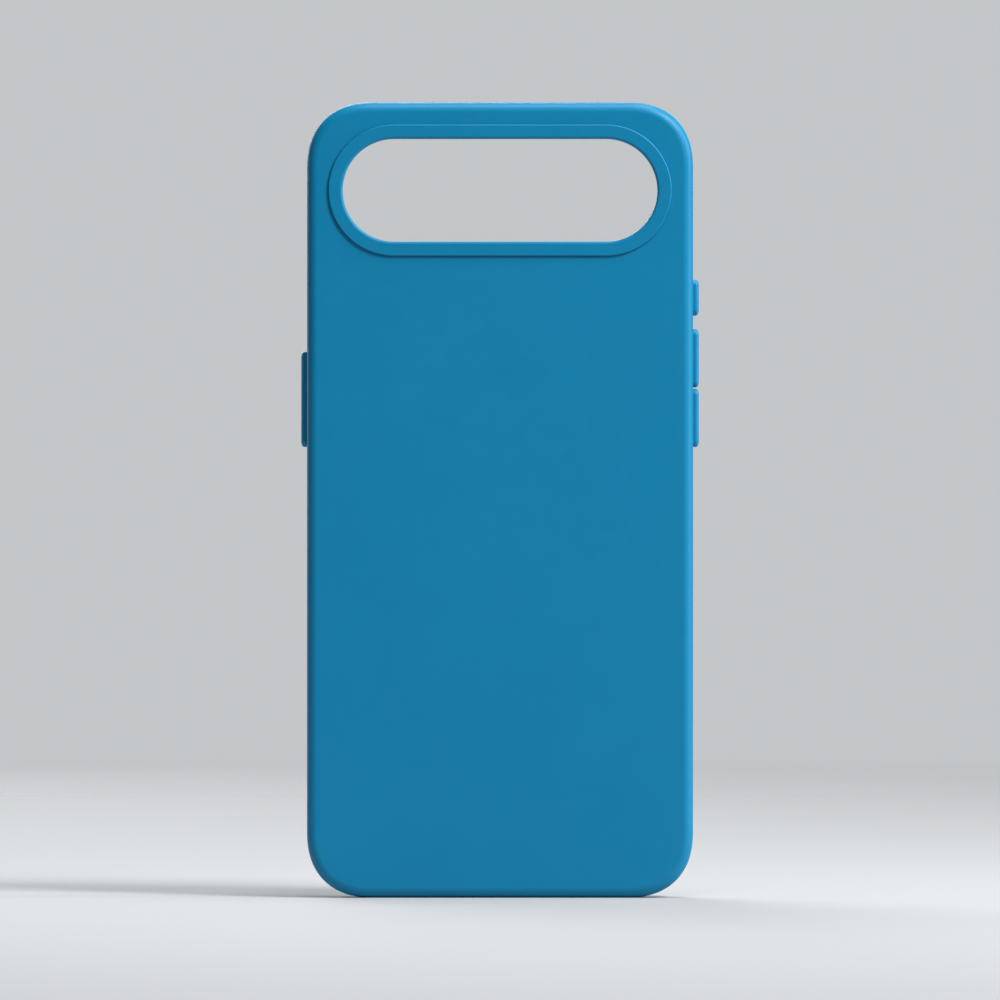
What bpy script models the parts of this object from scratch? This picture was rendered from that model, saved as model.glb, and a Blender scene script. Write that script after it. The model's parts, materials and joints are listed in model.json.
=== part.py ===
"""Protective case for a thin phone: silicone over a polycarbonate frame, with four press keys.

The case stands upright: +Z is up, its back faces -Y and the phone goes in from +Y.
The origin is the centre of the seat that the phone's back rests on. Lengths are in metres.
"""

import math

import bmesh
import bpy
from mathutils import Matrix

MM = 0.001

# Outline of the case, seen from the back
CASE_W = 77.2 * MM
CASE_H = 159.0 * MM
CORNER_REACH = 13.3 * MM  # how far a corner's curve runs along each side
CORNER_POWER = 2.35  # 2 would be a circular arc; more is fuller
CORNER_STEPS = 12

# Fits
BOND = 0.05 * MM  # glue line between bonded layers
SAME_POINT = BOND / 10  # points of an outline closer than this are one
KEY_PLAY = 0.15 * MM  # clearance round a key in its window

# Layers behind the phone, from the seat at y = 0 backwards
LINING_T = 0.40 * MM
PLATE_T = 0.80 * MM
SHELL_T = 0.80 * MM
LINING_BACK = -LINING_T
PLATE_FRONT = LINING_BACK - BOND
PLATE_BACK = PLATE_FRONT - PLATE_T
SHELL_FLOOR = PLATE_BACK - BOND
SHELL_BACK = SHELL_FLOOR - SHELL_T

# Side walls, as insets from the outline
SHELL_WALL = 0.65 * MM
FRAME_OUT = SHELL_WALL + BOND
FRAME_IN = FRAME_OUT + 0.45 * MM
LINING_INSET = 1.65 * MM

# Lip that holds the phone in
LIP_UNDER = 5.75 * MM
LIP_TOP = 6.95 * MM
LIP_W = 2.70 * MM
LIP_OUTER_R = 1.30 * MM
LIP_INNER_R = 1.10 * MM
FRAME_TOP = LIP_UNDER - 0.15 * MM

# Rounded back edges, one inside the other
SHELL_BACK_R = 2.00 * MM
SHELL_INNER_R = 1.30 * MM
FRAME_BACK_R = SHELL_INNER_R - BOND
FRAME_INNER_R = 0.60 * MM
ROUND_STEPS = 4

# Camera ring and its window
WINDOW_W = 62.9 * MM
WINDOW_H = 20.5 * MM
WINDOW_Z = CASE_H / 2 - 17.6 * MM
RING_RIM = 2.90 * MM
RING_PROUD = 0.45 * MM
RING_SEAT = 0.20 * MM  # depth of the ring's seat in the shell's back
RING_EDGE_R = 0.20 * MM
COLLAR_T = 0.90 * MM
COLLAR_PLAY = 0.10 * MM
LINING_SETBACK = 0.20 * MM  # of the lining's edge from the window
STADIUM_STEPS = 8

# Keys
KEY_Y = 2.82 * MM
KEY_H = 3.20 * MM
KEY_PROUD = 1.20 * MM
KEY_FOOT = -0.55 * MM  # inner end of a cap, from the case's side face
KEY_CORNER_R = 1.20 * MM
KEY_EDGE_R = 0.40 * MM
KEY_GAP = 0.30 * MM  # between the two volume keys
FLANGE_H = 4.40 * MM
FLANGE_T = 0.25 * MM
FLANGE_OUT = KEY_FOOT - BOND
PIN_R = 0.45 * MM
PIN_HOLE_R = 0.50 * MM
PIN_L = 0.80 * MM
PIN_SIDES = 16
POCKET_FLOOR = -0.40 * MM
SEAL_END = 0.85 * MM  # how far a seal runs past its window, at each end
SEAL_OUT = POCKET_FLOOR - BOND
SEAL_IN = SEAL_OUT - 0.10 * MM
DIVIDER_T = 0.14 * MM  # rib of the volume keys' seal that stands between them
DIVIDER_OVERLAP = 0.10 * MM
POCKET_PLAY = 0.15 * MM

# Where each key, or the pair of volume keys, starts and ends below the case's top
POWER_SPAN = (49.8 * MM, 68.9 * MM)
ACTION_SPAN = (35.4 * MM, 42.6 * MM)
VOLUME_SPAN = (45.3 * MM, 68.9 * MM)

# Openings in the bottom wall
PORT_W = 12.4 * MM
PORT_H = 4.9 * MM
SLOT_W = 11.0 * MM
SLOT_H = 1.8 * MM
SLOT_X = 17.0 * MM

# Magnets for a charger, in a pocket of the frame's plate
MAGNET_COUNT = 18
MAGNET_R_IN = 23.1 * MM
MAGNET_R_OUT = 27.1 * MM
MAGNET_T = 0.50 * MM
MAGNET_GAP = 0.30 * MM
MAGNET_Z = -2.0 * MM
MAGNET_STEPS = 4
BAR_MAGNET_W = 3.0 * MM
BAR_MAGNET_H = 12.5 * MM
BAR_MAGNET_Z = MAGNET_Z - 38.0 * MM
MAGNET_PLAY = 0.20 * MM
MAGNET_FRONT = PLATE_FRONT - BOND
MAGNET_BACK = MAGNET_FRONT - MAGNET_T
MAGNET_POCKET = MAGNET_BACK - BOND

CLEAR = 1.0 * MM  # how far a cutter runs past what it cuts

BLUE = (0.0, 0.205, 0.397, 1.0)
LINING_BLUE = (0.0, 0.17, 0.33, 1.0)
FRAME_BLUE = (0.0, 0.15, 0.30, 1.0)
NICKEL = (0.62, 0.61, 0.58, 1.0)
SEAL_BLACK = (0.02, 0.02, 0.02, 1.0)


def clear_scene():
    for obj in list(bpy.data.objects):
        bpy.data.objects.remove(obj, do_unlink=True)


def collection(name):
    made = bpy.data.collections.new(name)
    bpy.context.scene.collection.children.link(made)
    return made


def material(name, colour, roughness, metallic=0.0):
    made = bpy.data.materials.new(name)
    made.use_nodes = True
    shader = made.node_tree.nodes["Principled BSDF"]
    shader.inputs["Base Color"].default_value = colour
    shader.inputs["Roughness"].default_value = roughness
    shader.inputs["Metallic"].default_value = metallic
    return made


def rounded(width, height, reach, power=2.0, steps=STADIUM_STEPS, centre=(0.0, 0.0)):
    """A rounded rectangle, as a function from an inset to its outline's points."""

    def outline(inset):
        points = []
        for quarter, (side_u, side_v) in enumerate(((1, 1), (-1, 1), (-1, -1), (1, -1))):
            middle_u = centre[0] + side_u * (width / 2 - reach)
            middle_v = centre[1] + side_v * (height / 2 - reach)
            for step in range(steps + 1):
                angle = math.radians(90 * (quarter + step / steps))
                across = (reach - inset) * abs(math.cos(angle)) ** (2 / power)
                up = (reach - inset) * abs(math.sin(angle)) ** (2 / power)
                point = (middle_u + side_u * across, middle_v + side_v * up)
                if not points or math.dist(point, points[-1]) > SAME_POINT:
                    points.append(point)
        if math.dist(points[0], points[-1]) < SAME_POINT:
            points.pop()
        return points

    return outline


def stadium(width, height, centre=(0.0, 0.0)):
    return rounded(width, height, height / 2, centre=centre)


def arc(inset, depth, radius, start, end, steps=ROUND_STEPS):
    """Points of a profile's rounded corner, (inset, depth) being the arc's centre."""
    turns = (math.radians(start + (end - start) * step / steps) for step in range(steps + 1))
    return [(inset - radius * math.cos(turn), depth + radius * math.sin(turn)) for turn in turns]


def swept(outline, profile, axis=1, closed=False):
    """A profile of (inset, depth) points carried round an outline, with depth along the axis.

    An open profile is capped at its first and last outline, and a closed one makes a ring.
    """
    shape = bmesh.new()
    rings = []
    for inset, depth in profile:
        ring = []
        for point in outline(inset):
            place = list(point)
            place.insert(axis, depth)
            ring.append(shape.verts.new(place))
        rings.append(ring)
    pairs = zip(rings, rings[1:] + rings[:1]) if closed else zip(rings, rings[1:])
    for first, second in pairs:
        corners = zip(first, first[1:] + first[:1], second[1:] + second[:1], second)
        for quad in corners:
            shape.faces.new(quad)
    if not closed:
        shape.faces.new(rings[0])
        shape.faces.new(rings[-1])
    bmesh.ops.recalc_face_normals(shape, faces=shape.faces)
    return shape


def prism(outline, low, high, axis=1):
    """A flat outline, extruded along the axis from low to high."""
    shape = bmesh.new()
    corners = []
    for point in outline(0.0):
        place = list(point)
        place.insert(axis, low)
        corners.append(shape.verts.new(place))
    face = shape.faces.new(corners)
    extruded = bmesh.ops.extrude_face_region(shape, geom=[face])["geom"]
    shift = [0.0, 0.0, 0.0]
    shift[axis] = high - low
    moved = [item for item in extruded if isinstance(item, bmesh.types.BMVert)]
    bmesh.ops.translate(shape, verts=moved, vec=shift)
    bmesh.ops.recalc_face_normals(shape, faces=shape.faces)
    return shape


def pin_shape(radius, low, high, along):
    """A round bar along X from low to high, at a height along a key."""
    shape = bmesh.new()
    bmesh.ops.create_cone(
        shape,
        cap_ends=True,
        segments=PIN_SIDES,
        radius1=radius,
        radius2=radius,
        depth=high - low,
    )
    middle = Matrix.Translation(((low + high) / 2, 0.0, along))
    turned = middle @ Matrix.Rotation(math.pi / 2, 4, "Y")
    bmesh.ops.transform(shape, matrix=turned, verts=shape.verts)
    return shape


def add(name, shape, group, finish=None, parent=None):
    """An object made from a bmesh, which is freed."""
    mesh = bpy.data.meshes.new(name)
    shape.to_mesh(mesh)
    shape.free()
    obj = bpy.data.objects.new(name, mesh)
    group.objects.link(obj)
    obj.parent = parent
    if finish:
        mesh.materials.append(finish)
        mesh.shade_smooth()
        mesh.set_sharp_from_angle(angle=math.radians(35))
    else:
        obj.hide_render = True
        obj.display_type = "WIRE"
    return obj


def cut(obj, cutter):
    boolean = obj.modifiers.new(cutter.name, "BOOLEAN")
    boolean.operation = "DIFFERENCE"
    boolean.solver = "EXACT"
    boolean.object = cutter


CASE = rounded(CASE_W, CASE_H, CORNER_REACH, CORNER_POWER, CORNER_STEPS)


def shell_shape():
    profile = arc(SHELL_BACK_R, SHELL_BACK + SHELL_BACK_R, SHELL_BACK_R, -90, 0)
    profile += arc(LIP_OUTER_R, LIP_TOP - LIP_OUTER_R, LIP_OUTER_R, 0, 90)
    profile += arc(LIP_W - LIP_INNER_R, LIP_TOP - LIP_INNER_R, LIP_INNER_R, 90, 180)
    profile += [(LIP_W, LIP_UNDER), (SHELL_WALL, LIP_UNDER)]
    inner = SHELL_WALL + SHELL_INNER_R
    profile += arc(inner, SHELL_FLOOR + SHELL_INNER_R, SHELL_INNER_R, 0, -90)
    return swept(CASE, profile)


def frame_shape():
    outer = FRAME_OUT + FRAME_BACK_R
    profile = arc(outer, PLATE_BACK + FRAME_BACK_R, FRAME_BACK_R, -90, 0)
    profile += [(FRAME_OUT, FRAME_TOP), (FRAME_IN, FRAME_TOP)]
    inner = FRAME_IN + FRAME_INNER_R
    profile += arc(inner, PLATE_FRONT + FRAME_INNER_R, FRAME_INNER_R, 0, -90)
    return swept(CASE, profile)


def camera_outline(margin):
    """The camera window's outline, grown by a margin."""
    width = WINDOW_W + 2 * margin
    height = WINDOW_H + 2 * margin
    return stadium(width, height, centre=(0.0, WINDOW_Z))


def camera_ring_shape():
    """A rim that stands proud of the back, on a collar that ends under the lining's edge."""
    face = SHELL_BACK - RING_PROUD
    seat = SHELL_BACK + RING_SEAT - BOND
    collar = RING_RIM - COLLAR_T
    profile = arc(RING_EDGE_R, face + RING_EDGE_R, RING_EDGE_R, -90, 0, steps=2)
    profile += [(0.0, seat), (collar, seat)]
    profile += [(collar, PLATE_FRONT), (RING_RIM, PLATE_FRONT)]
    profile += arc(RING_RIM - RING_EDGE_R, face + RING_EDGE_R, RING_EDGE_R, 180, 270, steps=2)
    return swept(camera_outline(RING_RIM), profile, closed=True)


def magnet_shape(index):
    """One arc of the charger's magnet ring."""
    middle = math.radians(360 * (index + 0.5) / MAGNET_COUNT)

    def outline(_inset):
        points = []
        for radius, direction in ((MAGNET_R_OUT, 1), (MAGNET_R_IN, -1)):
            half = math.pi / MAGNET_COUNT - MAGNET_GAP / 2 / radius
            for step in range(MAGNET_STEPS + 1):
                angle = middle + direction * half * (2 * step / MAGNET_STEPS - 1)
                across = radius * math.cos(angle)
                points.append((across, MAGNET_Z + radius * math.sin(angle)))
        return points

    return prism(outline, MAGNET_BACK, MAGNET_FRONT)


def key_place(name, side, span, group):
    """An empty on the case's side face at the middle of a key, with local +X pointing out."""
    place = bpy.data.objects.new(name, None)
    place.location = (side * CASE_W / 2, KEY_Y, CASE_H / 2 - sum(span) / 2)
    place.rotation_euler.z = 0.0 if side > 0 else math.pi
    group.objects.link(place)
    return place


def key_section(length, height, radius=KEY_CORNER_R):
    return rounded(height, length, radius, steps=5)


def cap_shape(length):
    profile = [(0.0, KEY_FOOT)]
    profile += arc(KEY_EDGE_R, KEY_PROUD - KEY_EDGE_R, KEY_EDGE_R, 0, 90, steps=3)
    return swept(key_section(length, KEY_H), profile, axis=0)


def pin_places(length):
    return (-length / 4, length / 4)


def join(obj, other, name):
    union = obj.modifiers.new(name, "BOOLEAN")
    union.operation = "UNION"
    union.solver = "EXACT"
    union.object = other


def add_key(name, place, length, parts, cutters, finishes):
    """A cap, and the plunger behind it, whose pins sit in holes in the cap's foot."""
    cap = add(f"{name}_cap", cap_shape(length), parts, finishes["silicone"], place)
    flange = prism(key_section(length, FLANGE_H, PIN_R), FLANGE_OUT - FLANGE_T, FLANGE_OUT, axis=0)
    plunger = add(f"{name}_plunger", flange, parts, finishes["plunger"], place)
    for number, along in enumerate(pin_places(length), 1):
        hole = pin_shape(PIN_HOLE_R, KEY_FOOT - CLEAR, KEY_FOOT + PIN_L, along)
        cut(cap, add(f"{name}_pin_hole_{number}", hole, cutters, parent=place))
        pin = pin_shape(PIN_R, FLANGE_OUT - FLANGE_T / 2, FLANGE_OUT + PIN_L, along)
        join(plunger, add(f"{name}_pin_{number}", pin, cutters, parent=place), f"pin_{number}")


def add_window(name, place, length, shell, frame, parts, cutters, finishes):
    """A window for one key or a pair, with its seal in a pocket behind the shell's wall."""
    opening_l = length + 2 * KEY_PLAY
    opening_h = KEY_H + 2 * KEY_PLAY
    opening = key_section(opening_l, opening_h, KEY_CORNER_R + KEY_PLAY)
    window = prism(opening, -2 * CLEAR, CLEAR, axis=0)
    cut(shell, add(f"{name}_window", window, cutters, parent=place))

    seal_l = opening_l + 2 * SEAL_END
    pocket = key_section(seal_l + 2 * POCKET_PLAY, FLANGE_H + 2 * POCKET_PLAY, PIN_R)
    pocket = prism(pocket, -CLEAR, POCKET_FLOOR, axis=0)
    cut(shell, add(f"{name}_pocket", pocket, cutters, parent=place))

    doorway = key_section(opening_l, FLANGE_H + 2 * KEY_PLAY, PIN_R)
    doorway = prism(doorway, -2 * CLEAR, 0.0, axis=0)
    cut(frame, add(f"{name}_doorway", doorway, cutters, parent=place))

    seal = prism(key_section(seal_l, FLANGE_H, PIN_R), SEAL_IN, SEAL_OUT, axis=0)
    seal = add(f"{name}_seal", seal, parts, finishes["seal"], place)
    cut(seal, bpy.data.objects[f"{name}_window"])
    return seal


def add_bottom_openings(shell, frame, cutters):
    low, high = -CASE_H / 2 - CLEAR, -CASE_H / 2 + 3 * CLEAR
    sizes = {
        "port_opening": (PORT_W, PORT_H, 0.0),
        "left_sound_slot": (SLOT_W, SLOT_H, -SLOT_X),
        "right_sound_slot": (SLOT_W, SLOT_H, SLOT_X),
    }
    for name, (width, height, across) in sizes.items():
        shape = prism(stadium(width, height, (across, KEY_Y)), low, high, axis=2)
        cutter = add(name, shape, cutters)
        cut(shell, cutter)
        cut(frame, cutter)


def add_camera(shell, frame, lining, parts, cutters, finishes):
    add("camera_ring", camera_ring_shape(), parts, finishes["silicone"])
    hole = prism(camera_outline(COLLAR_T + COLLAR_PLAY), SHELL_BACK - CLEAR, CLEAR)
    hole = add("collar_hole", hole, cutters)
    cut(shell, hole)
    cut(frame, hole)
    window = prism(camera_outline(LINING_SETBACK), LINING_BACK - CLEAR, CLEAR)
    cut(lining, add("lining_window", window, cutters))
    seat = camera_outline(RING_RIM + COLLAR_PLAY)
    seat = prism(seat, SHELL_BACK - CLEAR, SHELL_BACK + RING_SEAT)
    cut(shell, add("ring_seat", seat, cutters))


def add_magnets(frame, parts, cutters, finishes):
    for index in range(MAGNET_COUNT):
        add(f"ring_magnet_{index + 1:02d}", magnet_shape(index), parts, finishes["magnet"])
    radius = MAGNET_R_OUT + MAGNET_PLAY
    groove = rounded(2 * radius, 2 * radius, radius, steps=MAGNET_COUNT, centre=(0.0, MAGNET_Z))
    width = MAGNET_R_OUT - MAGNET_R_IN + 2 * MAGNET_PLAY
    section = [(0.0, MAGNET_POCKET), (0.0, 0.0), (width, 0.0), (width, MAGNET_POCKET)]
    cut(frame, add("magnet_groove", swept(groove, section, closed=True), cutters))

    bar = rounded(BAR_MAGNET_W, BAR_MAGNET_H, PIN_R, steps=2, centre=(0.0, BAR_MAGNET_Z))
    add("bar_magnet", prism(bar, MAGNET_BACK, MAGNET_FRONT), parts, finishes["magnet"])
    width = BAR_MAGNET_W + 2 * MAGNET_PLAY
    height = BAR_MAGNET_H + 2 * MAGNET_PLAY
    pocket = rounded(width, height, PIN_R, steps=2, centre=(0.0, BAR_MAGNET_Z))
    cut(frame, add("bar_magnet_pocket", prism(pocket, MAGNET_POCKET, 0.0), cutters))


def add_keys(shell, frame, parts, cutters, finishes):
    up_end = (sum(VOLUME_SPAN) - KEY_GAP) / 2
    down_start = up_end + KEY_GAP
    keys = {
        "power": (-1, POWER_SPAN),
        "action": (1, ACTION_SPAN),
        "volume_up": (1, (VOLUME_SPAN[0], up_end)),
        "volume_down": (1, (down_start, VOLUME_SPAN[1])),
    }
    for name, (side, span) in keys.items():
        place = key_place(f"{name}_key", side, span, parts)
        add_key(name, place, span[1] - span[0], parts, cutters, finishes)
    windows = {
        "power": (-1, POWER_SPAN),
        "action": (1, ACTION_SPAN),
        "volume": (1, VOLUME_SPAN),
    }
    for name, (side, span) in windows.items():
        place = key_place(f"{name}_window_place", side, span, parts)
        length = span[1] - span[0]
        seal = add_window(name, place, length, shell, frame, parts, cutters, finishes)
        if name == "volume":
            height = KEY_H + 2 * KEY_PLAY + 2 * DIVIDER_OVERLAP
            rib = rounded(height, DIVIDER_T, DIVIDER_T / 4, steps=1)
            rib = prism(rib, FLANGE_OUT - FLANGE_T, SEAL_OUT, axis=0)
            join(seal, add("volume_divider", rib, cutters, parent=place), "divider")


def build():
    clear_scene()
    parts = collection("phone_case")
    cutters = collection("cutters")
    finishes = {
        "silicone": material("silicone", BLUE, 0.55),
        "frame": material("polycarbonate", FRAME_BLUE, 0.40),
        "lining": material("microfibre", LINING_BLUE, 0.95),
        "plunger": material("acetal", FRAME_BLUE, 0.45),
        "seal": material("seal_foam", SEAL_BLACK, 0.90),
        "magnet": material("nickel_plate", NICKEL, 0.30, 1.0),
    }
    shell = add("silicone_shell", shell_shape(), parts, finishes["silicone"])
    frame = add("inner_frame", frame_shape(), parts, finishes["frame"])
    lining = prism(lambda _inset: CASE(LINING_INSET), LINING_BACK, 0.0)
    lining = add("microfibre_lining", lining, parts, finishes["lining"])
    add_camera(shell, frame, lining, parts, cutters, finishes)
    add_keys(shell, frame, parts, cutters, finishes)
    add_bottom_openings(shell, frame, cutters)
    add_magnets(frame, parts, cutters, finishes)


build()
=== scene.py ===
"""Looks of the phone case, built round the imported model. Lengths are in metres.

The case stands upright with its back to -Y, the side that the camera sees, and its open front to +Y.
"""

import json
import math

import bmesh
import bpy
from mathutils import Matrix, Vector


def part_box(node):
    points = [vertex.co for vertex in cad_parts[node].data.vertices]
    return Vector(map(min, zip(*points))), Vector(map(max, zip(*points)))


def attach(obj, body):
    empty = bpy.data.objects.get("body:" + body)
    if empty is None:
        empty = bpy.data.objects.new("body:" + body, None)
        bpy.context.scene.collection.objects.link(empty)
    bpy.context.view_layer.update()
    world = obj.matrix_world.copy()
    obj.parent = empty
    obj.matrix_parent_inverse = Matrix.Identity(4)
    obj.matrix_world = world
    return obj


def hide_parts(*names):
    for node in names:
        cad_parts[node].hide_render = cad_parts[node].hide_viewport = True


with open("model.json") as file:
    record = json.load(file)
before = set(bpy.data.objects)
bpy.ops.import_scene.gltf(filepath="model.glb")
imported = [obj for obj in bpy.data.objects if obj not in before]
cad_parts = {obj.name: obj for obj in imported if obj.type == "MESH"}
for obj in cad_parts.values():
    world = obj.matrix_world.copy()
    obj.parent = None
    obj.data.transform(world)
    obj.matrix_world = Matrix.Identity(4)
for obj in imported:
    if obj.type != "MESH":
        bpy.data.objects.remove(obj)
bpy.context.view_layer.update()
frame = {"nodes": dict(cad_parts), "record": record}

MM = 0.001

# Sizes read from the frame
shell_low, shell_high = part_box("silicone_shell")
plate_low, plate_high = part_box("inner_frame")
lining_low, lining_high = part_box("microfibre_lining")
ring_low, ring_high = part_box("camera_ring")
cap_low, cap_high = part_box("power_cap")
CASE_W = shell_high.x - shell_low.x
CASE_H = shell_high.z - shell_low.z
SHELL_BACK = shell_low.y
LIP_TOP = shell_high.y
FRAME_OUT = shell_high.x - plate_high.x
FRAME_TOP = plate_high.y
PLATE_BACK = plate_low.y
LINING_INSET = shell_high.x - lining_high.x
LINING_BACK = lining_low.y
LINING_FACE = lining_high.y
RING_W = ring_high.x - ring_low.x
RING_H = ring_high.z - ring_low.z
RING_FACE = ring_low.y
COLLAR_END = ring_high.y
WINDOW_Z = (ring_high.z + ring_low.z) / 2
KEY_Y = (cap_low.y + cap_high.y) / 2
KEY_H = cap_high.y - cap_low.y

# The case's outline, as the frame has it
CORNER_REACH = 13.3 * MM  # how far a corner's curve runs along each side
CORNER_POWER = 2.35  # 2 would be a circular arc; more is fuller
BOND = 0.05 * MM  # glue line between bonded layers
SAME_POINT = BOND / 10  # points of an outline closer than this are one

# Walls and lip
SHELL_WALL = FRAME_OUT - BOND
FRAME_WALL = 0.45 * MM
SHELL_FLOOR = PLATE_BACK - BOND
PLATE_FRONT = LINING_BACK - BOND
LIP_UNDER = 5.75 * MM
LIP_W = 2.70 * MM
LIP_OUTER_R = 1.30 * MM
LIP_INNER_R = 1.10 * MM
BACK_R = 2.00 * MM
SHELL_INNER_R = 1.30 * MM
FRAME_INNER_R = 0.60 * MM
FRAME_EDGE_R = 0.12 * MM

# Camera rim and the lining's edges
RING_RIM = 2.90 * MM
RING_SEAT = 0.20 * MM
RING_EDGE_R = 0.28 * MM
WINDOW_EDGE_R = 0.55 * MM
COLLAR_T = 0.90 * MM
COLLAR_PLAY = 0.10 * MM
COLLAR_FOOT_R = 0.12 * MM
SEAT_PLAY = 0.04 * MM
LINING_SETBACK = 0.20 * MM  # of the lining's edge from the window
LINING_EDGE_R = 0.16 * MM

# Keys and their windows
KEY_PLAY = 0.15 * MM
KEY_CORNER_R = 1.20 * MM
KEY_EDGE_R = 0.55 * MM
KEY_CROWN = 0.12 * MM
CAP_CORNER_R = 0.05 * MM  # left at the corners of a cap's face
CAP_TURN = 80  # degrees that a cap's edge turns before its crown starts
WINDOW_LIP_R = 0.22 * MM
PIN_L = 0.80 * MM
PIN_HOLE_R = 0.50 * MM
FLANGE_H = 4.40 * MM
POCKET_CORNER_R = 0.45 * MM
POCKET_FLOOR = -0.40 * MM
SEAL_END = 0.85 * MM  # how far a seal runs past its window, at each end

# Openings in the bottom wall
PORT_W = 12.4 * MM
PORT_H = 4.9 * MM
SLOT_W = 11.0 * MM
SLOT_H = 1.8 * MM
SLOT_X = 17.0 * MM
PORT_LIP_R = 0.35 * MM
PORT_EDGE_R = 0.10 * MM  # on the frame, behind the shell's wall

# Magnets' groove and pocket
MAGNET_Z = -2.0 * MM
GROOVE_OUT = 27.3 * MM
GROOVE_W = 4.4 * MM
GROOVE_FLOOR = PLATE_FRONT - 0.60 * MM
BAR_POCKET = (3.4 * MM, 12.9 * MM)
BAR_Z = MAGNET_Z - 38.0 * MM

CLEAR = 1.0 * MM  # how far a cutter runs past what it cuts
SUPPORT = 0.06 * MM  # a loop this far past a rounded edge keeps the flat beside it flat
SHARP = math.radians(32)  # edges that turn by more than this stay crisp

# How many steps a quarter turn or a short curve is made in
FLOOR_STEPS = 64  # this one goes all the way round
CORNER_STEPS = 40
GROOVE_STEPS = 36
OPENING_STEPS = 14
KEY_STEPS = 10
ROUND_STEPS = 10
EDGE_STEPS = 8
SMALL_STEPS = 5
TINY_STEPS = 4
THIN_EDGE_STEPS = 3

# Colours
SILICONE_BLUE = (0.0, 0.205, 0.397, 1.0)
RUBBED_BLUE = (0.03, 0.28, 0.47, 1.0)
# paler blue painted on the lining as glints of fibres catching the light
FIBRE_GLINT_BLUE = (0.05, 0.36, 0.58, 1.0)
FRAME_BLUE = (0.0, 0.150, 0.300, 1.0)
PLUNGER_BLUE = (0.0, 0.165, 0.330, 1.0)
# the foam's own dark colour, also used as painted shade in the hollows of its pits
FOAM_DARK_AND_PIT_SHADE = (0.010, 0.012, 0.014, 1.0)
FOAM_LIGHT = (0.035, 0.038, 0.042, 1.0)
NICKEL_DULL = (0.60, 0.58, 0.54, 1.0)
NICKEL_BRIGHT = (0.70, 0.69, 0.66, 1.0)

# Studio
FLOOR_GREY = (0.42, 0.43, 0.44, 1.0)
FLOOR_R = 6.0
FLOOR_FADE = (0.15, 1.3)  # distances over which the floor fades out
AIR_TINT = (0.95, 0.975, 1.0, 1.0)
FILL = 0.12  # strength with which the background lights the case
BACKGROUND = 0.58  # strength with which the camera sees it
CAMERA_DISTANCE = 2.4
CASE_SHARE = 0.795  # of the picture's height that the case takes
SENSOR_W = 36.0

# Each light: its place, its width and height, and its watts. All aim at the origin
LIGHTS = {
    "key": ((0.75, -0.62, 0.95), (0.40, 0.40), 20.6),
    "right_strip": ((0.95, -0.08, 0.30), (0.12, 0.60), 5.2),
    "top_strip": ((0.12, -0.06, 0.95), (0.70, 0.12), 5.2),
    "inside_key": ((-0.38, 1.05, 0.48), (0.70, 0.70), 8.2),
    "inside_right_strip": ((-0.70, 0.70, 0.30), (0.12, 0.60), 1.4),
    "inside_top_strip": ((-0.10, 0.70, 0.70), (0.70, 0.12), 1.4),
}


# ---------------------------------------------------------------- shapes


def rounded(width, height, reach, steps, power=2.0, centre=(0.0, 0.0)):
    """A rounded rectangle, as a function from an inset to its outline's points."""

    def outline(inset):
        points = []
        for quarter, (side_u, side_v) in enumerate(((1, 1), (-1, 1), (-1, -1), (1, -1))):
            middle_u = centre[0] + side_u * (width / 2 - reach)
            middle_v = centre[1] + side_v * (height / 2 - reach)
            for step in range(steps + 1):
                angle = math.radians(90 * (quarter + step / steps))
                across = (reach - inset) * abs(math.cos(angle)) ** (2 / power)
                up = (reach - inset) * abs(math.sin(angle)) ** (2 / power)
                point = (middle_u + side_u * across, middle_v + side_v * up)
                if not points or math.dist(point, points[-1]) > SAME_POINT:
                    points.append(point)
        if math.dist(points[0], points[-1]) < SAME_POINT:
            points.pop()
        return points

    return outline


def arc(inset, depth, radius, start, end, steps=ROUND_STEPS):
    """Points of a profile's rounded corner, (inset, depth) being the arc's centre."""
    turns = (math.radians(start + (end - start) * step / steps) for step in range(steps + 1))
    return [(inset - radius * math.cos(turn), depth + radius * math.sin(turn)) for turn in turns]


def swept(name, outline, profile, axis=1, closed=False, place=None):
    """A profile of (inset, depth) points carried round an outline, with depth along the axis.

    An open profile is capped at its first and last outline, and a closed one makes a ring.
    """
    shape = bmesh.new()
    rings = []
    for inset, depth in profile:
        ring = []
        for point in outline(inset):
            spot = list(point)
            spot.insert(axis, depth)
            ring.append(shape.verts.new(spot))
        rings.append(ring)
    pairs = zip(rings, rings[1:] + rings[:1]) if closed else zip(rings, rings[1:])
    for first, second in pairs:
        for quad in zip(first, first[1:] + first[:1], second[1:] + second[:1], second):
            shape.faces.new(quad)
    if not closed:
        shape.faces.new(rings[0])
        shape.faces.new(rings[-1])
    bmesh.ops.recalc_face_normals(shape, faces=shape.faces)
    mesh = bpy.data.meshes.new(name)
    shape.to_mesh(mesh)
    shape.free()
    obj = bpy.data.objects.new(name, mesh)
    bpy.context.scene.collection.objects.link(obj)
    if place is not None:
        obj.matrix_world = place
    return obj


def opening(outline, low, surface, flare, axis, place=None):
    """A cutter for a hole with a softly rounded mouth at the surface."""
    profile = [(0.0, low)]
    profile += arc(-flare, surface - flare, flare, 180, 90, SMALL_STEPS)
    profile.append((-flare, surface + CLEAR))
    return swept("cutter", outline, profile, axis, place=place)


def cut(obj, cutters):
    """Cuts the cutters out of obj for good, and removes them."""
    for cutter in cutters:
        boolean = obj.modifiers.new("cut", "BOOLEAN")
        boolean.operation = "DIFFERENCE"
        boolean.solver = "EXACT"
        boolean.object = cutter
    bpy.context.view_layer.update()
    graph = bpy.context.evaluated_depsgraph_get()
    rough = obj.data
    obj.data = bpy.data.meshes.new_from_object(obj.evaluated_get(graph))
    obj.modifiers.clear()
    bpy.data.meshes.remove(rough)
    for cutter in cutters:
        bpy.data.objects.remove(cutter, do_unlink=True)


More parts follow.
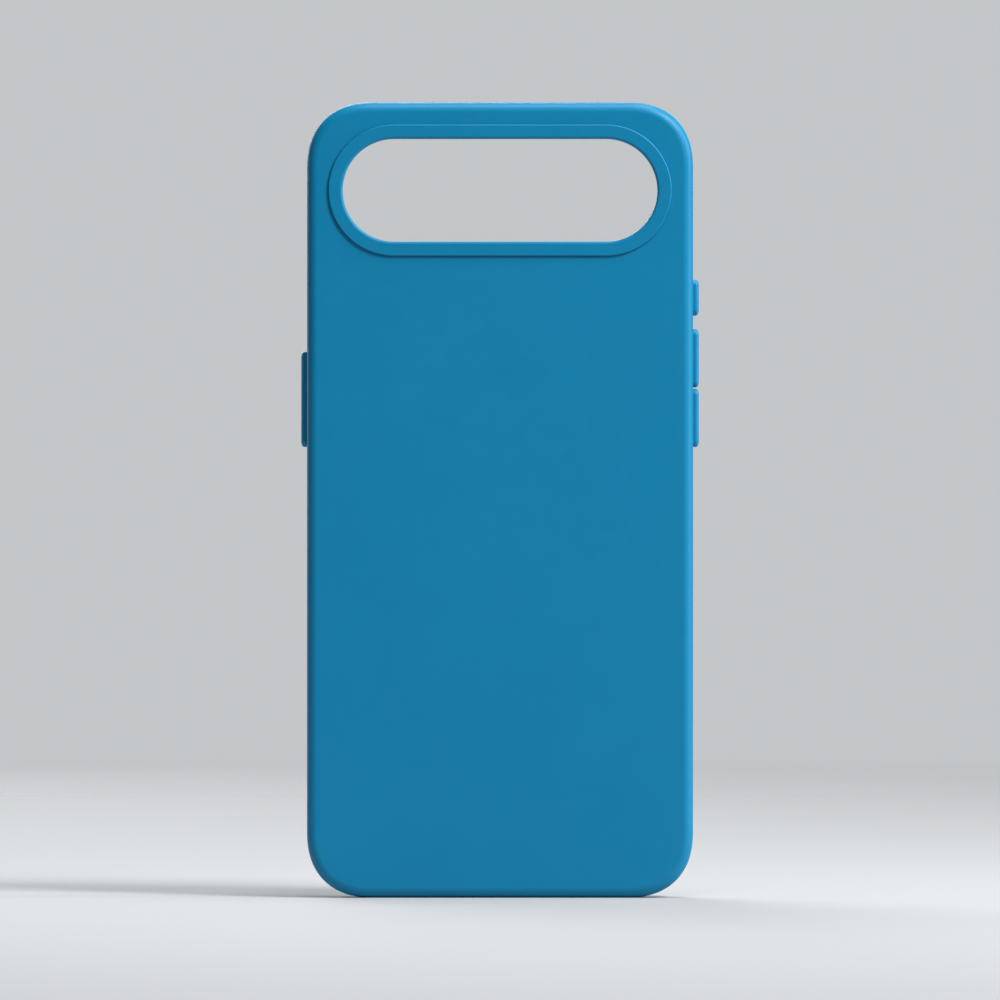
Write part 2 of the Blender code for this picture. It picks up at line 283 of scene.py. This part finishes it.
def finished(obj, node_name, body, slot):
    """Shades a piece, gives it its material, and ties it to the frame."""
    obj.data.shade_smooth()
    obj.data.set_sharp_from_angle(angle=SHARP)
    weighted = obj.modifiers.new("flats_stay_flat", "WEIGHTED_NORMAL")
    weighted.keep_sharp = True
    obj.data.materials.clear()
    obj.data.materials.append(FINISHES[slot])
    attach(obj, body)
    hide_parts(node_name)


# ---------------------------------------------------------------- materials


class Surface:
    """A Principled material and the few nodes that these finishes are made from."""

    def __init__(self, name, **sockets):
        self.material = bpy.data.materials.new(name)
        self.material.use_nodes = True
        self.tree = self.material.node_tree
        self.shader = self.tree.nodes["Principled BSDF"]
        for socket, value in sockets.items():
            self.shader.inputs[socket.replace("_", " ")].default_value = value
        self.coords = self.tree.nodes.new("ShaderNodeTexCoord").outputs["Object"]

    def link(self, output, socket):
        """Feeds an output to one of the shader's sockets."""
        self.tree.links.new(output, self.shader.inputs[socket])

    def noise(self, feature, detail=2.0, stretch=(1.0, 1.0, 1.0), roughness=0.5):
        """Noise with features of a given size in metres."""
        mapping = self.tree.nodes.new("ShaderNodeMapping")
        mapping.inputs["Scale"].default_value = stretch
        self.tree.links.new(self.coords, mapping.inputs["Vector"])
        texture = self.tree.nodes.new("ShaderNodeTexNoise")
        texture.inputs["Scale"].default_value = 1.0 / feature
        texture.inputs["Detail"].default_value = detail
        texture.inputs["Roughness"].default_value = roughness
        self.tree.links.new(mapping.outputs["Vector"], texture.inputs["Vector"])
        return texture.outputs["Fac"]

    def cells(self, feature):
        """Voronoi cells' distance, for pits and specks."""
        texture = self.tree.nodes.new("ShaderNodeTexVoronoi")
        texture.inputs["Scale"].default_value = 1.0 / feature
        self.tree.links.new(self.coords, texture.inputs["Vector"])
        return texture.outputs["Distance"]

    def spread(self, value, low, high, start=0.3, end=0.7):
        """A value in start to end, mapped to low to high."""
        node = self.tree.nodes.new("ShaderNodeMapRange")
        node.inputs["From Min"].default_value = start
        node.inputs["From Max"].default_value = end
        node.inputs["To Min"].default_value = low
        node.inputs["To Max"].default_value = high
        self.tree.links.new(value, node.inputs["Value"])
        return node.outputs["Result"]

    def blend(self, factor, first, second):
        """Colour first where factor is 0 and second where it is 1; each is a colour or an output."""
        node = self.tree.nodes.new("ShaderNodeMix")
        node.data_type = "RGBA"
        for socket, value in zip(("A", "B"), (first, second)):
            slot = next(s for s in node.inputs if s.name == socket and s.type == "RGBA")
            if isinstance(value, tuple):
                slot.default_value = value
            else:
                self.tree.links.new(value, slot)
        self.tree.links.new(factor, node.inputs["Factor"])
        return next(s for s in node.outputs if s.type == "RGBA")

    def total(self, first, second, share):
        """first plus share times second."""
        node = self.tree.nodes.new("ShaderNodeMath")
        node.operation = "MULTIPLY_ADD"
        node.inputs[1].default_value = share
        self.tree.links.new(second, node.inputs[0])
        self.tree.links.new(first, node.inputs[2])
        return node.outputs["Value"]

    def bump(self, height, depth):
        """Relief from a height of 0 to 1, with a depth in metres."""
        node = self.tree.nodes.new("ShaderNodeBump")
        node.inputs["Distance"].default_value = depth
        self.tree.links.new(height, node.inputs["Height"])
        self.link(node.outputs["Normal"], "Normal")


def shade(colour, factor):
    """A colour made darker or lighter by a factor."""
    return tuple(channel * factor for channel in colour[:3]) + (1.0,)


def silicone():
    """Soft-touch silicone: satin, with a fine moulded grain, faint mottling and polished-off edges."""
    made = Surface(
        "silicone",
        Specular_IOR_Level=0.27,
        Subsurface_Weight=0.04,
        Subsurface_Radius=(0.2, 0.6, 1.0),
        Subsurface_Scale=0.6 * MM,
    )
    mottle = made.spread(made.noise(18 * MM, detail=3.0), 0.0, 1.0)
    grain = made.noise(0.16 * MM, detail=2.0)
    colour = made.blend(mottle, shade(SILICONE_BLUE, 0.985), shade(SILICONE_BLUE, 1.015))
    speckle = made.spread(grain, 0.0, 0.16)
    colour = made.blend(speckle, colour, shade(SILICONE_BLUE, 0.80))
    edges = made.tree.nodes.new("ShaderNodeNewGeometry").outputs["Pointiness"]
    rubbed = made.spread(edges, 0.0, 0.12, start=0.52, end=0.60)
    colour = made.blend(rubbed, colour, RUBBED_BLUE)
    made.link(colour, "Base Color")
    made.link(made.spread(made.noise(3 * MM, detail=4.0), 0.41, 0.49), "Roughness")
    made.bump(made.total(grain, made.noise(0.9 * MM), 0.8), 0.006 * MM)
    return made.material


def microfibre():
    """Short flocked nap: brushed light and dark, with painted highlights where single fibres would
    catch the light.
    """
    made = Surface(
        "microfibre",
        Roughness=0.95,
        Specular_IOR_Level=0.15,
        Sheen_Weight=0.30,
        Sheen_Roughness=0.45,
        Sheen_Tint=(0.25, 0.65, 0.95, 1.0),
    )
    brushed = made.spread(made.noise(9 * MM, detail=4.0, stretch=(1.0, 1.0, 0.35)), 0.0, 1.0)
    colour = made.blend(brushed, shade(SILICONE_BLUE, 0.98), shade(SILICONE_BLUE, 1.06))
    fibres = made.noise(0.22 * MM, detail=3.0, stretch=(1.0, 1.0, 0.45), roughness=0.7)
    colour = made.blend(made.spread(fibres, 0.0, 0.28), colour, shade(SILICONE_BLUE, 0.66))
    # painted highlight: scattered specks turned a paler blue, as glints of fibres catching the light
    painted_glints = made.spread(made.noise(0.12 * MM, detail=1.0), 0.0, 0.22, start=0.58, end=0.75)
    colour = made.blend(painted_glints, colour, FIBRE_GLINT_BLUE)
    made.link(colour, "Base Color")
    made.bump(made.total(fibres, brushed, 0.5), 0.05 * MM)
    return made.material


def moulded_plastic(name, colour, roughness):
    """Spark-textured moulding with faint flow marks."""
    made = Surface(name, Specular_IOR_Level=0.45)
    flow = made.spread(made.noise(12 * MM, detail=3.0, stretch=(1.0, 1.0, 0.3)), 0.0, 1.0)
    made.link(made.blend(flow, shade(colour, 0.95), shade(colour, 1.05)), "Base Color")
    spark = made.noise(0.10 * MM, detail=2.0)
    made.link(made.spread(spark, roughness - 0.06, roughness + 0.06), "Roughness")
    made.bump(spark, 0.004 * MM)
    return made.material


def seal_foam():
    """Closed-cell foam: dark, dull and finely pitted, with painted shade darkening the hollows of the
    pits.
    """
    made = Surface("seal_foam", Roughness=0.92, Specular_IOR_Level=0.2)
    pits = made.cells(0.12 * MM)
    # painted shade: the colour darkens towards each pit's centre, where the bump sinks the surface
    clear_of_pit_shade = made.spread(pits, 0.0, 1.0, start=0.0, end=0.6)
    made.link(made.blend(clear_of_pit_shade, FOAM_DARK_AND_PIT_SHADE, FOAM_LIGHT), "Base Color")
    made.bump(pits, 0.02 * MM)
    return made.material


def nickel_plate():
    """Plated magnet: bright, with fine tumbling marks and a few duller patches."""
    made = Surface("nickel_plate", Metallic=1.0)
    patches = made.spread(made.noise(2 * MM, detail=4.0), 0.0, 1.0)
    made.link(made.blend(patches, NICKEL_DULL, NICKEL_BRIGHT), "Base Color")
    marks = made.noise(0.08 * MM, detail=2.0, stretch=(1.0, 1.0, 6.0))
    made.link(made.spread(marks, 0.22, 0.38), "Roughness")
    made.bump(marks, 0.002 * MM)
    return made.material


FINISHES = {
    "silicone": silicone(),
    "microfibre": microfibre(),
    "polycarbonate": moulded_plastic("polycarbonate", FRAME_BLUE, 0.38),
    "acetal": moulded_plastic("acetal", PLUNGER_BLUE, 0.46),
    "seal_foam": seal_foam(),
    "nickel_plate": nickel_plate(),
}


# ---------------------------------------------------------------- places


CASE = rounded(CASE_W, CASE_H, CORNER_REACH, CORNER_STEPS, CORNER_POWER)


def camera_outline(margin):
    """The camera rim's outline, grown by a margin."""
    width, height = RING_W + 2 * margin, RING_H + 2 * margin
    return rounded(width, height, height / 2, CORNER_STEPS, centre=(0.0, WINDOW_Z))


def key_place(low, high):
    """Where a key stands: on the case's side face, with local +X pointing out."""
    side = 1.0 if low.x > 0 else -1.0
    spot = Matrix.Translation((side * CASE_W / 2, (low.y + high.y) / 2, (low.z + high.z) / 2))
    return spot if side > 0 else spot @ Matrix.Rotation(math.pi, 4, "Z")


def key_section(length, height, radius):
    """A key's outline, seen along its press."""
    return rounded(height, length, radius, KEY_STEPS)


def windows():
    """Each key window's place, and the length of the key or keys in it."""
    found = []
    for names in (("power_cap",), ("action_cap",), ("volume_up_cap", "volume_down_cap")):
        boxes = [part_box(name) for name in names]
        low = Vector(min(box[0][i] for box in boxes) for i in range(3))
        high = Vector(max(box[1][i] for box in boxes) for i in range(3))
        found.append((key_place(low, high), high.z - low.z))
    return found


def bottom_cutters(flare):
    """Cutters for the port and the sound slots, with rounded mouths on the outside."""
    surface = CASE_H / 2
    made = []
    turned = Matrix.Rotation(math.pi, 4, "Y")
    for width, height, across in (
        (PORT_W, PORT_H, 0.0),
        (SLOT_W, SLOT_H, -SLOT_X),
        (SLOT_W, SLOT_H, SLOT_X),
    ):
        centre = (across, KEY_Y)
        shape = rounded(width, height, height / 2, OPENING_STEPS, centre=centre)
        made.append(opening(shape, surface - 3 * CLEAR, surface, flare, axis=2, place=turned))
    return made


def collar_cutter():
    """A cutter for the hole that the camera rim's collar goes through."""
    outline = camera_outline(COLLAR_T + COLLAR_PLAY - RING_RIM)
    return swept("cutter", outline, [(0.0, SHELL_BACK - CLEAR), (0.0, CLEAR)])


# ---------------------------------------------------------------- pieces


def silicone_shell():
    """The outer moulding: back, walls and lip, with its windows, mouths and camera seat."""
    profile = [(BACK_R + SUPPORT, SHELL_BACK)]
    profile += arc(BACK_R, SHELL_BACK + BACK_R, BACK_R, -90, 0, OPENING_STEPS)
    profile += arc(LIP_OUTER_R, LIP_TOP - LIP_OUTER_R, LIP_OUTER_R, 0, 90)
    profile += arc(LIP_W - LIP_INNER_R, LIP_TOP - LIP_INNER_R, LIP_INNER_R, 90, 180)
    profile += [(LIP_W, LIP_UNDER), (SHELL_WALL, LIP_UNDER)]
    inner = SHELL_WALL + SHELL_INNER_R
    profile += arc(inner, SHELL_FLOOR + SHELL_INNER_R, SHELL_INNER_R, 0, -90, SMALL_STEPS)
    shell = swept("case_shell", CASE, profile)

    cutters = bottom_cutters(PORT_LIP_R)
    for place, length in windows():
        length += 2 * KEY_PLAY
        section = key_section(length, KEY_H + 2 * KEY_PLAY, KEY_CORNER_R + KEY_PLAY)
        cutters.append(opening(section, -2 * CLEAR, 0.0, WINDOW_LIP_R, axis=0, place=place))
        pocket_l = length + 2 * SEAL_END + 2 * KEY_PLAY
        pocket = key_section(pocket_l, FLANGE_H + 2 * KEY_PLAY, POCKET_CORNER_R)
        span = [(0.0, -CLEAR), (0.0, POCKET_FLOOR)]
        cutters.append(swept("cutter", pocket, span, axis=0, place=place))
    cutters.append(collar_cutter())
    seat = [(0.0, SHELL_BACK - CLEAR), (0.0, SHELL_BACK + RING_SEAT)]
    cutters.append(swept("cutter", camera_outline(SEAT_PLAY), seat))
    cut(shell, cutters)
    finished(shell, "silicone_shell", "case_body", "silicone")


def inner_frame():
    """The stiff tub inside the shell, with the magnets' groove and pocket."""
    inner = FRAME_OUT + FRAME_WALL
    outer_r = SHELL_INNER_R - BOND
    profile = arc(FRAME_OUT + outer_r, PLATE_BACK + outer_r, outer_r, -90, 0, SMALL_STEPS)
    edge_y = FRAME_TOP - FRAME_EDGE_R
    profile += arc(FRAME_OUT + FRAME_EDGE_R, edge_y, FRAME_EDGE_R, 0, 90, THIN_EDGE_STEPS)
    profile += arc(inner - FRAME_EDGE_R, edge_y, FRAME_EDGE_R, 90, 180, THIN_EDGE_STEPS)
    centre = (inner + FRAME_INNER_R, PLATE_FRONT + FRAME_INNER_R)
    profile += arc(*centre, FRAME_INNER_R, 0, -90, SMALL_STEPS)
    profile.append((inner + FRAME_INNER_R + SUPPORT, PLATE_FRONT))
    tub = swept("case_frame", CASE, profile)

    cutters = bottom_cutters(PORT_EDGE_R)
    for place, length in windows():
        doorway = key_section(length + 2 * KEY_PLAY, FLANGE_H + 2 * KEY_PLAY, POCKET_CORNER_R)
        span = [(0.0, -2 * CLEAR), (0.0, 0.0)]
        cutters.append(swept("cutter", doorway, span, axis=0, place=place))
    cutters.append(collar_cutter())
    across = 2 * GROOVE_OUT
    groove = rounded(across, across, GROOVE_OUT, GROOVE_STEPS, centre=(0.0, MAGNET_Z))
    section = [(0.0, GROOVE_FLOOR), (0.0, 0.0), (GROOVE_W, 0.0), (GROOVE_W, GROOVE_FLOOR)]
    cutters.append(swept("cutter", groove, section, closed=True))
    pocket = rounded(*BAR_POCKET, POCKET_CORNER_R, TINY_STEPS, centre=(0.0, BAR_Z))
    cutters.append(swept("cutter", pocket, [(0.0, GROOVE_FLOOR), (0.0, 0.0)]))
    cut(tub, cutters)
    finished(tub, "inner_frame", "case_body", "polycarbonate")


def microfibre_lining():
    """The lining, with the edge that heat-pressing rounds over."""
    profile = [(LINING_INSET, LINING_BACK)]
    centre = (LINING_INSET + LINING_EDGE_R, LINING_FACE - LINING_EDGE_R)
    profile += arc(*centre, LINING_EDGE_R, 0, 90, SMALL_STEPS)
    profile.append((LINING_INSET + LINING_EDGE_R + SUPPORT, LINING_FACE))
    lining = swept("lining", CASE, profile)
    gap = LINING_SETBACK - RING_RIM
    hole = camera_outline(gap)
    cut(lining, [opening(hole, LINING_BACK - CLEAR, LINING_FACE, LINING_EDGE_R, axis=1)])
    finished(lining, "microfibre_lining", "case_body", "microfibre")


def camera_ring():
    """The raised rim round the camera window, and the collar that it stands on."""
    seat = SHELL_BACK + RING_SEAT - BOND
    collar = RING_RIM - COLLAR_T
    profile = arc(RING_EDGE_R, RING_FACE + RING_EDGE_R, RING_EDGE_R, -90, 0, EDGE_STEPS)
    profile += [(0.0, seat), (collar, seat), (collar, COLLAR_END)]
    foot = (RING_RIM - COLLAR_FOOT_R, COLLAR_END - COLLAR_FOOT_R)
    profile += arc(*foot, COLLAR_FOOT_R, 90, 180, TINY_STEPS)
    edge = (RING_RIM - WINDOW_EDGE_R, RING_FACE + WINDOW_EDGE_R)
    profile += arc(*edge, WINDOW_EDGE_R, 180, 270, EDGE_STEPS)
    ring = swept("camera_rim", camera_outline(0.0), profile, closed=True)
    finished(ring, "camera_ring", "case_body", "silicone")


def key_cap(name):
    """A pillow-shaped cap with a gently crowned face."""
    low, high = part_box(f"{name}_cap")
    place = key_place(low, high)
    length = high.z - low.z
    foot = min(abs(low.x), abs(high.x)) - CASE_W / 2
    top = max(abs(low.x), abs(high.x)) - CASE_W / 2
    shoulder = top - KEY_CROWN
    profile = [(0.0, foot)]
    profile += arc(KEY_EDGE_R, shoulder - KEY_EDGE_R, KEY_EDGE_R, 0, CAP_TURN, EDGE_STEPS)
    inset, depth = profile[-1]
    reach = KEY_CORNER_R - CAP_CORNER_R - inset
    for step in range(1, EDGE_STEPS + 1):
        share = step / EDGE_STEPS
        rise = (top - depth) * (1 - (1 - share) ** 2)
        profile.append((inset + reach * share, depth + rise))
    section = key_section(length, high.y - low.y, KEY_CORNER_R)
    cap = swept(f"{name}_button", section, profile, axis=0, place=place)
    cutters = []
    for along in (-length / 4, length / 4):
        across = 2 * PIN_HOLE_R
        hole = rounded(across, across, PIN_HOLE_R, TINY_STEPS, centre=(0.0, along))
        span = [(0.0, foot - CLEAR), (0.0, foot + PIN_L)]
        cutters.append(swept("cutter", hole, span, axis=0, place=place))
    cut(cap, cutters)
    finished(cap, f"{name}_cap", f"{name}_key", "silicone")


def carried_over():
    """The CAD nodes that stay as they are, with their own finish."""
    slots = {part["node"]: part["material_slot"] for part in frame["record"]["subparts"]}
    for name, obj in frame["nodes"].items():
        if obj.hide_render:
            continue
        obj.data.materials.clear()
        obj.data.materials.append(FINISHES[slots[name]])


# ---------------------------------------------------------------- stage


def stage():
    """A pale floor that fades out with distance, so that it meets the background without a line."""
    shape = bmesh.new()
    bmesh.ops.create_circle(shape, cap_ends=True, segments=FLOOR_STEPS, radius=FLOOR_R)
    mesh = bpy.data.meshes.new("floor")
    shape.to_mesh(mesh)
    shape.free()
    floor = bpy.data.objects.new("floor", mesh)
    floor.location.z = -CASE_H / 2
    bpy.context.scene.collection.objects.link(floor)
    paper = Surface("floor_paper", Base_Color=FLOOR_GREY, Roughness=0.9, Specular_IOR_Level=0.1)
    distance = paper.tree.nodes.new("ShaderNodeVectorMath")
    distance.operation = "LENGTH"
    paper.tree.links.new(paper.coords, distance.inputs[0])
    paper.link(paper.spread(distance.outputs["Value"], 1.0, 0.0, *FLOOR_FADE), "Alpha")
    mesh.materials.append(paper.material)


def background():
    """A pale grey to look at, which lights the case only faintly."""
    world = bpy.data.worlds.new("studio")
    world.use_nodes = True
    nodes, links = world.node_tree.nodes, world.node_tree.links
    seen = nodes.new("ShaderNodeLightPath").outputs["Is Camera Ray"]
    strength = nodes.new("ShaderNodeMapRange")
    strength.inputs["To Min"].default_value = FILL
    strength.inputs["To Max"].default_value = BACKGROUND
    links.new(seen, strength.inputs["Value"])
    links.new(strength.outputs["Result"], nodes["Background"].inputs["Strength"])
    nodes["Background"].inputs["Color"].default_value = AIR_TINT
    bpy.context.scene.world = world


def lights():
    """Soft boxes and strips, all aimed at the origin."""
    for name, (place, size, power) in LIGHTS.items():
        data = bpy.data.lights.new(name, "AREA")
        data.shape = "RECTANGLE"
        data.size, data.size_y = size
        data.energy = power
        light = bpy.data.objects.new(name, data)
        light.location = place
        light.rotation_euler = (-Vector(place)).to_track_quat("-Z", "Y").to_euler()
        bpy.context.scene.collection.objects.link(light)


def camera():
    """A long lens, straight on, so that parallel edges look parallel."""
    data = bpy.data.cameras.new("camera")
    data.sensor_width = SENSOR_W
    data.lens = SENSOR_W * CAMERA_DISTANCE * CASE_SHARE / CASE_H
    data.clip_start = 0.05
    data.clip_end = 20.0
    eye = bpy.data.objects.new("camera", data)
    eye.location = (0.0, -CAMERA_DISTANCE, 0.0)
    eye.rotation_euler = (math.radians(90), 0.0, 0.0)
    bpy.context.scene.collection.objects.link(eye)
    bpy.context.scene.camera = eye
    bpy.context.scene.view_settings.view_transform = "Standard"


camera()
lights()
background()
stage()
silicone_shell()
inner_frame()
microfibre_lining()
camera_ring()
for key in ("power", "action", "volume_up", "volume_down"):
    key_cap(key)
carried_over()
